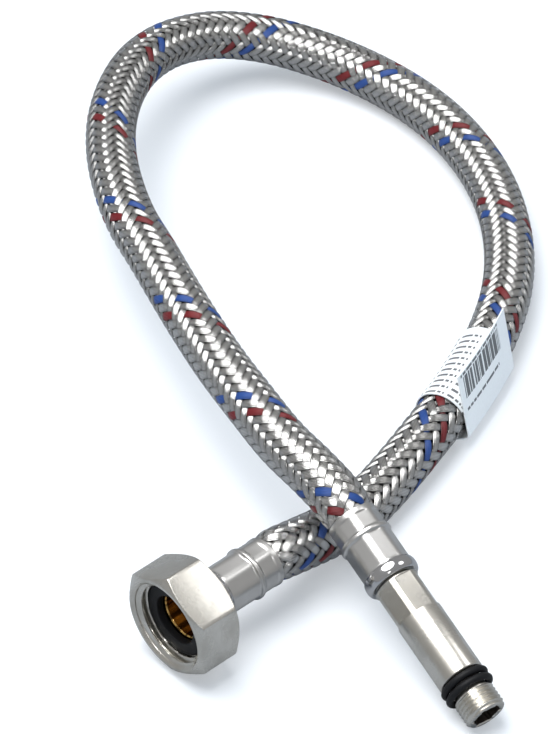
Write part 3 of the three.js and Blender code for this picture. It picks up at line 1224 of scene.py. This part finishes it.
    def declare(self, tube: bpy.types.Object) -> None:
        """Logs the length of free hose from the tail's ferrule to the nut.

        Args:
            tube: the piece whose name is logged with the length.
        """
        stations = np.linspace(0, self.route.length, 240)
        path = self.route.frame(stations)[0] * MM
        log.info("%s: %.0f mm of free hose", tube.name, self.route.length)


@dataclass
class Label:
    """The paper strip that lies round the hose and stands off it as a flag.

    Args:
        route: the centreline.
        finishes: the materials.
    """

    route: Route
    finishes: Finishes
    snug: float = 6.55
    thickness: float = 0.3
    span: tuple[float, float] = (0.794, 0.85)
    lean_deg: float = 11.0
    underside_deg: float = -62.0
    fold_radius: float = 1.0
    flag_length: float = 13.3
    clearance: float = 0.3
    blank: float = -4.0
    rows: int = 48

    def skin(self, radius: float) -> np.ndarray:
        """One skin in cross-section, as outward and up from the centreline: an arc round the hose
        from behind the flag to its underside, an arc round the fold, and the flag's straight side.

        Args:
            radius: of the arc round the hose.

        Returns:
            Points, shape (n, 2), that end at the free edge.
        """
        lean, under = math.radians(self.lean_deg), math.radians(self.underside_deg)
        start = lean + math.acos((self.snug - self.clearance) / (self.snug + self.thickness))
        away = (self.snug - self.fold_radius) / math.cos((lean - under) / 2)
        middle = (lean + under) / 2
        fold = self.fold_radius + radius - self.snug

        def arc(size: float, first: float, last: float, count: int) -> np.ndarray:
            """Points at equal angles on a circle about the origin."""
            angle = np.linspace(first, last, count)
            return size * np.stack([np.cos(angle), np.sin(angle)], axis=-1)

        centre = away * np.array([math.cos(middle), math.sin(middle)])
        flag = np.linspace(0, self.flag_length, 24)[1:, None]
        top = radius * np.array([math.cos(lean), math.sin(lean)])
        return np.concatenate(
            [
                arc(radius, start, under + TURN, 72),
                centre + arc(fold, under, lean, 14),
                top + flag * np.array([-math.sin(lean), math.cos(lean)]),
            ]
        )

    def build(self) -> bpy.types.Object:
        """Sweeps the closed section along the hose, with UV = (millimetres along the hose,
        millimetres from the free edge along the outer skin, and below zero on the blank side).

        Returns:
            The label.
        """
        inner, outer = (self.skin(self.snug + part) for part in (0.0, self.thickness))
        steps = np.linalg.norm(np.diff(outer, axis=0), axis=1)
        far = np.concatenate([[0.0], np.cumsum(steps)])
        far = far[-1] - far
        section = np.concatenate([outer, inner[::-1]])
        across = np.concatenate([far, self.blank - far[::-1]])
        ends = [share * self.route.length for share in self.span]
        stations = np.linspace(*ends, self.rows)
        point, out, rise = self.route.frame(stations)
        points = (
            point[:, None] + section[:, 0:1] * out[:, None] + section[:, 1:2] * rise[:, None]
        )
        count = len(section)
        surface = Surface("label_paper_strip", points.reshape(-1, 3))
        faces, places = lattice_faces(self.rows, count, False, True)
        along = (stations - stations[0])[places[..., 0]]
        surface.add(faces, np.stack([along, across[places[..., 1] % count]], axis=-1))
        half = count // 2
        near = np.arange(half - 1)
        strip = np.stack([near, near + 1, count - 2 - near, count - 1 - near], axis=1)
        blank = np.full(strip.shape + (2,), self.blank)
        surface.add(strip[:, ::-1], blank)
        surface.add(strip + (self.rows - 1) * count, blank)
        piece = surface.build(40)
        return dress(piece, Body.HOSE, ["label"], [self.finishes.paper])


@dataclass
class Ferrule:
    """A crimped steel sleeve.

    Args:
        node: the node that it stands for.
        axis: the fitting's axis.
        finishes: the materials.
    """

    node: str
    axis: Axis
    finishes: Finishes
    crimp: Crimp = Crimp()
    angles: int = 192
    turn: float = 0.0
    blend: int = 3
    flats_edge: float = 0.35
    ridge_edge: float = 0.25
    bead_gap: float = 0.5
    bead_groove: float = 0.1
    bead_rows: int = 15
    lip_edge: float = 0.3
    softness: float = 0.22

    def outer(self) -> np.ndarray:
        """The outside from the belled mouth to the bead: two crimps with a round ridge between.

        Returns:
            Radius and height, shape (rows, angles, 2).
        """
        crimp, edge = self.crimp, self.flats_edge
        flat = softened(
            flats_radius(crimp.flats, crimp.flat_radius * 2, crimp.radius, self.angles, self.turn),
            self.blend,
        )
        ridge_end = crimp.ridge_start + crimp.ridge_width
        high = crimp.radius + crimp.ridge_rise
        mouth = crimp.hose_diameter / 2 - crimp.squeeze * float(crimp.grip(0.0)) + crimp.hose_gap
        pairs = [
            (mouth, 0.0),
            (mouth + crimp.wall, 0.0),
            (crimp.radius, crimp.mouth),
            (flat, crimp.mouth + edge),
            (flat, crimp.ridge_start - edge),
            (crimp.radius, crimp.ridge_start),
            (high, crimp.ridge_start + self.ridge_edge),
            (high, ridge_end - self.ridge_edge),
            (crimp.radius, ridge_end),
            (flat, ridge_end + edge),
            (flat, crimp.bead_start - self.bead_gap),
            (crimp.radius - self.bead_groove, crimp.bead_start),
        ]
        return rounded(rings(pairs, self.angles), self.softness, False)

    def build(self) -> bpy.types.Object:
        """The outside, then the rolled bead, r = root + swell cos a and h = start + half width
        (1 + sin a), and then the lip and the bore.

        Returns:
            The ferrule.
        """
        crimp = self.crimp
        root, swell = crimp.radius - self.bead_groove, crimp.bead_rise + self.bead_groove
        lean = np.linspace(-math.pi / 2, math.pi / 2, self.bead_rows)[1:]
        rise = crimp.bead_width / 2 * (1 + np.sin(lean))
        bead = zip(root + swell * np.cos(lean), crimp.bead_start + rise)
        lip = crimp.neck_radius + crimp.fit
        inner = [
            (lip, crimp.length - self.lip_edge),
            (lip, crimp.length - crimp.lip),
            (crimp.bore, crimp.length - crimp.lip),
            (crimp.bore, crimp.mouth),
        ]
        profile = np.concatenate([self.outer(), rings([*bead, *inner], self.angles)])
        piece = self.axis.turned(f"{self.node}_formed", profile).build(40)
        return dress(piece, Body.HOSE, [self.node], [self.finishes.steel])


@dataclass
class Tail:
    """The long threaded tail with its two sealing rings.

    Args:
        finishes: the materials.
    """

    finishes: Finishes
    crimp: Crimp = Crimp()
    mouth: tuple[float, float] = (56.8, -44.3)
    heading_deg: float = -9.2
    slope_deg: float = 18.0
    angles: int = 168
    radius: float = 5.5
    edge: float = 0.3
    shoulder: float = 0.5
    flats: int = 6
    flats_across: float = 10.1
    flats_length: float = 9.2
    flats_step: float = 0.02
    shank_length: float = 17.4
    ring_section: float = 1.7
    ring_radius: float = 5.15
    ring_count: int = 2
    groove_radius: float = 4.0
    thread_radius: float = 4.95
    thread_depth: float = 0.54
    thread_pitch: float = 1.0
    thread_length: float = 6.0
    thread_margins: tuple[float, float] = (0.05, 0.1)
    thread_fade: float = 0.5
    chamfer: float = 0.6
    bore_radius: float = 3.25
    bore_length: float = 14.0
    bore_edge: float = 0.25
    bore_taper: float = 0.5
    keyways: int = 6
    keyway_radius: float = 0.55
    keyway_depth: float = 4.0
    keyway_end: float = 0.1
    softness: float = 0.12

    @property
    def axis(self) -> Axis:
        """The tail slopes down so that its tip's edge touches the ground: the mouth's height is
        (tip - chamfer) sin(slope) + thread radius cos(slope).

        Returns:
            The axis.
        """
        heading, slope = math.radians(self.heading_deg), math.radians(self.slope_deg)
        level = math.cos(slope)
        along = [level * math.cos(heading), level * math.sin(heading), -math.sin(slope)]
        height = (self.tip - self.chamfer) * math.sin(slope) + self.thread_radius * level
        return Axis(np.array([*self.mouth, height]), np.array(along))

    @property
    def face(self) -> float:
        """Where the tail leaves the ferrule."""
        return self.crimp.length + self.crimp.fit

    @property
    def flats_start(self) -> float:
        """Where the hexagon begins."""
        return self.face + self.shoulder

    @property
    def groove_start(self) -> float:
        """Where the ring groove begins."""
        return self.flats_start + self.flats_length + self.shank_length

    @property
    def thread_start(self) -> float:
        """Where the thread begins."""
        width = self.ring_count * self.ring_section + (self.ring_count + 1) * self.crimp.fit
        return self.groove_start + width

    @property
    def tip(self) -> float:
        """The tail's end."""
        return self.thread_start + self.thread_length

    def shank(self) -> np.ndarray:
        """Stem, neck, flats, shank and groove.

        Returns:
            Radius and height, shape (rows, angles, 2).
        """
        crimp, face, edge, radius = self.crimp, self.face, self.edge, self.radius
        flat = flats_radius(self.flats, self.flats_across, radius, self.angles, math.pi / 2)
        flats_end = self.flats_start + self.flats_length
        pairs = [
            *crimp.stem(),
            (crimp.neck_radius, crimp.collar_end),
            (crimp.neck_radius, face),
            (radius - edge, face),
            (radius, face + edge),
            (radius, self.flats_start),
            (flat, self.flats_start + self.flats_step),
            (flat, flats_end - self.flats_step),
            (radius, flats_end),
            (radius, self.groove_start - edge),
            (radius - edge, self.groove_start),
            (self.groove_radius, self.groove_start),
            (self.groove_radius, self.thread_start),
        ]
        return rounded(rings(pairs, self.angles), self.softness, False, 3)

    def thread(self) -> np.ndarray:
        """The helical thread between the groove and the tip.

        Returns:
            Radius and height, shape (rows, angles, 2).
        """
        first, last = self.thread_margins
        return thread_rows(
            self.thread_radius - self.thread_depth,
            self.thread_radius,
            self.thread_pitch,
            self.thread_start + first,
            self.tip - last,
            self.angles,
            self.thread_fade,
        )

    def keyed(self) -> np.ndarray:
        """The bore's radius at each angle near the tip: a circle with round keyways, each of them
        sqrt(k^2 - across^2) deeper than the circle.

        Returns:
            The radii.
        """
        angle = np.arange(self.angles) / self.angles * TURN
        sector = TURN / self.keyways
        off = (angle + sector / 2) % sector - sector / 2
        across = off * self.bore_radius
        return self.bore_radius + np.sqrt(np.clip(self.keyway_radius**2 - across**2, 0, None))

    def body(self) -> None:
        """The outside, the keyed mouth and the bore in one closed profile."""
        keyed, tip, edge = self.keyed(), self.tip, self.bore_edge
        shelf, bore_end = tip - self.keyway_depth, tip - self.bore_length
        rim = rings([(keyed + edge, tip), (keyed, tip - edge)], self.angles)
        outer = np.concatenate([self.shank(), self.thread(), rim])
        inner = [
            (keyed, shelf),
            (self.bore_radius, shelf - self.keyway_end),
            (self.bore_radius, bore_end),
            (self.crimp.stem_bore, bore_end - self.bore_taper),
            (self.crimp.stem_bore, self.crimp.stem_start),
        ]
        profile = np.concatenate([outer, rings(inner, self.angles)])
        piece = self.axis.turned("tail_machined", profile, len(outer) - 1).build(18)
        # The inner faces take the near-black bore finish, which is painted shade.
        finishes = [self.finishes.nickel, self.finishes.bore]
        dress(piece, Body.HOSE, ["tail_fitting"], finishes)

    def ring(self, name: str, index: int) -> None:
        """A round rubber ring: r = middle + s cos b, h = centre + s sin b.

        Args:
            name: the node that it stands for.
            index: 0 for the rear ring, 1 for the front one.
        """
        half, steps, angles = self.ring_section / 2, 24, 96
        centre = self.groove_start + self.crimp.fit + half
        centre += index * (self.ring_section + self.crimp.fit)
        b = np.linspace(0, TURN, steps, endpoint=False)
        loop = list(zip(self.ring_radius + half * np.cos(b), centre + half * np.sin(b)))
        piece = self.axis.turned(f"{name}_moulded", rings(loop, angles)).build()
        dress(piece, Body.HOSE, [name], [self.finishes.rubber])

    def build(self) -> None:
        """Makes the tail and its rings."""
        self.body()
        for index, name in enumerate(("o_ring_rear", "o_ring_front")):
            self.ring(name, index)


@dataclass
class NutEnd:
    """Nipple, gasket and union nut.

    Args:
        finishes: the materials.
    """

    finishes: Finishes
    crimp: Crimp = Crimp()
    mouth: tuple[float, float] = (47.55, -62.04)
    angles: int = 192
    sides: int = 6
    across_flats: float = 24.0
    corner_wear: float = 0.12
    length: float = 12.0
    back_gap: float = 0.5
    back_wall: float = 3.0
    float_room: float = 2.1
    face_radius: float = 11.6
    chamfer_deg: float = 30.0
    softness: float = 0.16
    thread_minor: float = 9.35
    thread_major: float = 10.5
    thread_pitch: float = 1.814
    thread_fade: float = 0.8
    relief_length: float = 2.6
    relief_edge: float = 0.4
    lead_in: float = 0.6
    step: float = 0.05
    mouth_radius: float = 11.1
    journal_radius: float = 6.6
    flange_thickness: float = 1.5
    nipple_bore: float = 5.5
    nipple_angles: int = 128
    nipple_softness: float = 0.12
    bore_edge: float = 0.3
    bore_depth: float = 4.6
    cone_length: float = 1.5
    gasket_thickness: float = 2.0
    gasket_bore: float = 6.0
    gasket_softness: float = 0.3

    @property
    def axis(self) -> Axis:
        """The nut lies on one of its corners, with its mouth facing -Y."""
        corner = self.across_flats / math.sqrt(3)
        return Axis(np.array([*self.mouth, corner]), np.array([0.0, -1.0, 0.0]))

    @property
    def back(self) -> float:
        """The nut's back face."""
        return self.crimp.length + self.back_gap

    @property
    def seat(self) -> float:
        """The front of the nut's back wall."""
        return self.back + self.back_wall

    @property
    def front(self) -> float:
        """The nut's front face."""
        return self.back + self.length

    @property
    def flange_back(self) -> float:
        """The back of the nipple's flange, short of which the nut slides freely."""
        return self.seat + self.float_room

    @property
    def flange_front(self) -> float:
        """The nipple's sealing face."""
        return self.flange_back + self.flange_thickness

    def nut(self) -> bpy.types.Object:
        """The hexagon meets each chamfer cone where the cone is as wide as the hexagon, so the
        height there is the face's plus (hexagon radius - face radius) * tan(chamfer).

        Returns:
            The union nut.
        """
        n, step = self.angles, self.step
        corner = self.across_flats / math.sqrt(3) - self.corner_wear
        hexagon = flats_radius(self.sides, self.across_flats, corner, n, math.pi / 3)
        slope = math.tan(math.radians(self.chamfer_deg))
        drop = np.clip(hexagon - self.face_radius, 0, None) * slope
        hole = self.journal_radius + self.crimp.fit
        thread_start, thread_end = self.seat + self.relief_length, self.front - self.lead_in
        outer = [
            (hole, self.back),
            (self.face_radius, self.back),
            (hexagon, self.back + drop + step),
            (hexagon, self.front - drop - step),
            (self.face_radius, self.front),
            (self.mouth_radius, self.front),
            (self.thread_major, thread_end),
        ]
        thread = thread_rows(
            self.thread_major,
            self.thread_minor,
            self.thread_pitch,
            thread_start,
            thread_end - step,
            n,
            self.thread_fade,
        )
        inner = [
            (self.thread_major, thread_start - self.relief_edge),
            (self.thread_major, self.seat),
            (hole, self.seat),
        ]
        outside = rounded(rings(outer, n), self.softness, False, 3)
        profile = np.concatenate([outside, thread[::-1], rings(inner, n)])
        piece = self.axis.turned("nut_machined", profile).build(28)
        return dress(piece, Body.NUT, ["union_nut"], [self.finishes.nickel])

    def nipple(self) -> bpy.types.Object:
        """The barbed nipple with its journal, flange and bore.

        Returns:
            The nipple.
        """
        crimp = self.crimp
        flange_radius = self.thread_minor - crimp.fit
        face = crimp.length + crimp.fit
        bore_end = self.flange_front - self.bore_depth
        corners = [
            *crimp.stem(),
            (crimp.neck_radius, crimp.collar_end),
            (crimp.neck_radius, face),
            (self.journal_radius, face),
            (self.journal_radius, self.flange_back),
            (flange_radius, self.flange_back),
            (flange_radius, self.flange_front),
            (self.nipple_bore + self.bore_edge, self.flange_front),
            (self.nipple_bore, self.flange_front - self.bore_edge),
            (self.nipple_bore, bore_end),
            (crimp.stem_bore, bore_end - self.cone_length),
            (crimp.stem_bore, crimp.stem_start),
        ]
        profile = rounded(rings(corners, self.nipple_angles), self.nipple_softness, True, 3)
        piece = self.axis.turned("nipple_machined", profile).build(35)
        return dress(piece, Body.HOSE, ["nut_nipple"], [self.finishes.brass])

    def gasket(self) -> bpy.types.Object:
        """The flat rubber washer.

        Returns:
            The gasket.
        """
        back = self.flange_front + self.crimp.fit
        front = back + self.gasket_thickness
        outer, bore = self.thread_minor - self.crimp.fit, self.gasket_bore
        corners = [(outer, back), (outer, front), (bore, front), (bore, back)]
        profile = rounded(rings(corners, self.nipple_angles), self.gasket_softness, True, 4)
        piece = self.axis.turned("gasket_moulded", profile).build(35)
        return dress(piece, Body.HOSE, ["gasket"], [self.finishes.rubber])

    def build(self) -> list[bpy.types.Object]:
        """Makes the three pieces."""
        return [self.nut(), self.nipple(), self.gasket()]


# The studio


@dataclass(frozen=True)
class Lamp:
    """A round soft lamp aimed at the hose.

    Args:
        name: its name.
        place: where it hangs, in metres.
        size: its diameter.
        watts: its power.
    """

    name: str
    place: tuple[float, float, float]
    size: float
    watts: float

    def hang(self) -> None:
        """Adds the lamp to the scene."""
        data = bpy.data.lights.new(self.name, "AREA")
        data.shape = "DISK"
        data.size = self.size
        data.energy = self.watts
        lamp = bpy.data.objects.new(self.name, data)
        lamp.location = self.place
        lamp.rotation_euler = (-Vector(self.place)).to_track_quat("-Z", "Y").to_euler()
        bpy.context.scene.collection.objects.link(lamp)


@dataclass
class Studio:
    """Camera, floor and lights.

    Args:
        target: the point at the middle of the picture, in millimetres.
    """

    target: tuple[float, float, float] = (-6.0, -9.6, 6.0)
    azimuth_deg: float = 47.31
    elevation_deg: float = 41.5
    distance: float = 1007.2
    focal_pixels: float = 4200.0
    sensor: float = 36.0
    clip: tuple[float, float] = (0.01, 50.0)
    floor_half: float = 3.0
    floor_level: float = -0.0002
    floor_colour: tuple[float, float, float] = (0.93, 0.95, 0.98)
    floor_glow: float = 0.35
    floor_dimmed: float = 0.7
    dim_colour: tuple[float, float, float] = (0.05, 0.05, 0.055)
    white: tuple[float, float, float] = (1.0, 1.0, 1.0)
    world_light: float = 0.42
    world_colour: tuple[float, float, float] = (0.52, 0.76, 1.0)
    world_reflected: float = 0.36
    lamps: tuple[Lamp, ...] = (
        Lamp("softbox", (-0.1, -0.17, 0.75), 0.68, 8.3),
        Lamp("window", (0.3, 0.5, 0.75), 0.34, 0.9),
        Lamp("by_camera", (0.62, -0.5, 0.72), 0.12, 0.8),
    )

    def camera(self) -> None:
        """A long lens at the photo's angle; its length is focal pixels * sensor / image height."""
        a, e = math.radians(self.azimuth_deg), math.radians(self.elevation_deg)
        back = Vector((math.sin(a) * math.cos(e), -math.cos(a) * math.cos(e), math.sin(e)))
        data = bpy.data.cameras.new("camera")
        data.sensor_width = self.sensor
        data.lens = self.focal_pixels * self.sensor / IMAGE_HEIGHT
        data.clip_start, data.clip_end = self.clip
        camera = bpy.data.objects.new("camera", data)
        camera.location = Vector(self.target) * MM + back * self.distance * MM
        camera.rotation_euler = (-back).to_track_quat("-Z", "Y").to_euler()
        bpy.context.scene.collection.objects.link(camera)
        bpy.context.scene.camera = camera

    def floor(self) -> None:
        """A wide pale floor just under the hose, with a little white of its own to the camera and
        mostly dim in reflections."""
        half = self.floor_half
        mesh = bpy.data.meshes.new("floor")
        corners = [(-half, -half, 0), (half, -half, 0), (half, half, 0), (-half, half, 0)]
        mesh.from_pydata(corners, [], [(0, 1, 2, 3)])
        floor = bpy.data.objects.new("floor", mesh)
        floor.location.z = self.floor_level
        bpy.context.scene.collection.objects.link(floor)
        graph = Graph("pale_floor")
        matt = graph.principled(
            Base_Color=rgb(*self.floor_colour), Roughness=0.9, Specular_IOR_Level=0.0
        )
        camera_ray = graph.node("ShaderNodeLightPath", output="Is Camera Ray")
        glow, dim = (
            graph.node("ShaderNodeEmission", None, {"Color": rgb(*colour)})
            for colour in (self.white, self.dim_colour)
        )
        seen = graph.blend(camera_ray * self.floor_glow, matt, glow)
        mirrored = camera_ray.beside("Is Glossy Ray") * self.floor_dimmed
        mesh.materials.append(graph.finish(graph.blend(mirrored, seen, dim)))

    def world(self) -> None:
        """White to the camera, darker in reflections, and a soft light otherwise."""
        graph = Graph("studio", True)
        camera_ray = graph.node("ShaderNodeLightPath", output="Is Camera Ray")
        glossy_ray = camera_ray.beside("Is Glossy Ray")
        seen = camera_ray.math("MAXIMUM", camera_ray.beside("Is Transmission Ray"))

        def glow(strength: float, colour: tuple[float, float, float]) -> Value:
            """A plain background of that strength and colour."""
            return graph.node(
                "ShaderNodeBackground", None, {"Color": rgb(*colour), "Strength": strength}
            )

        light = glow(self.world_light, self.world_colour)
        unseen = graph.blend(glossy_ray, light, glow(self.world_reflected, self.white))
        bpy.context.scene.world = graph.finish(graph.blend(seen, unseen, glow(1.0, self.white)))

    def build(self) -> None:
        """Sets up the floor and the lights."""
        self.floor()
        self.world()
        for lamp in self.lamps:
            lamp.hang()
        bpy.context.scene.view_settings.view_transform = "Standard"


def main() -> None:
    """Builds the studio and every piece of the hose, and logs each piece's faces and the hose's
    length.
    """
    logging.basicConfig(level=logging.INFO, format="%(name)s %(message)s")
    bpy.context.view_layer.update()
    studio = Studio()
    studio.camera()
    finishes = Finishes()
    tail, nut_end = Tail(finishes), NutEnd(finishes)
    route = Route(tail.axis, nut_end.axis)
    hose = Hose(route, finishes)
    tube, *rest = hose.build()
    on_hose = [*rest, Label(route, finishes).build()]
    Ferrule("ferrule_tail_end", tail.axis, finishes).build()
    on_hose.append(Ferrule("ferrule_nut_end", nut_end.axis, finishes).build())
    on_hose += nut_end.build()
    tail.build()
    hose.declare(tube)
    studio.build()


if __name__ == "__main__":
    main()
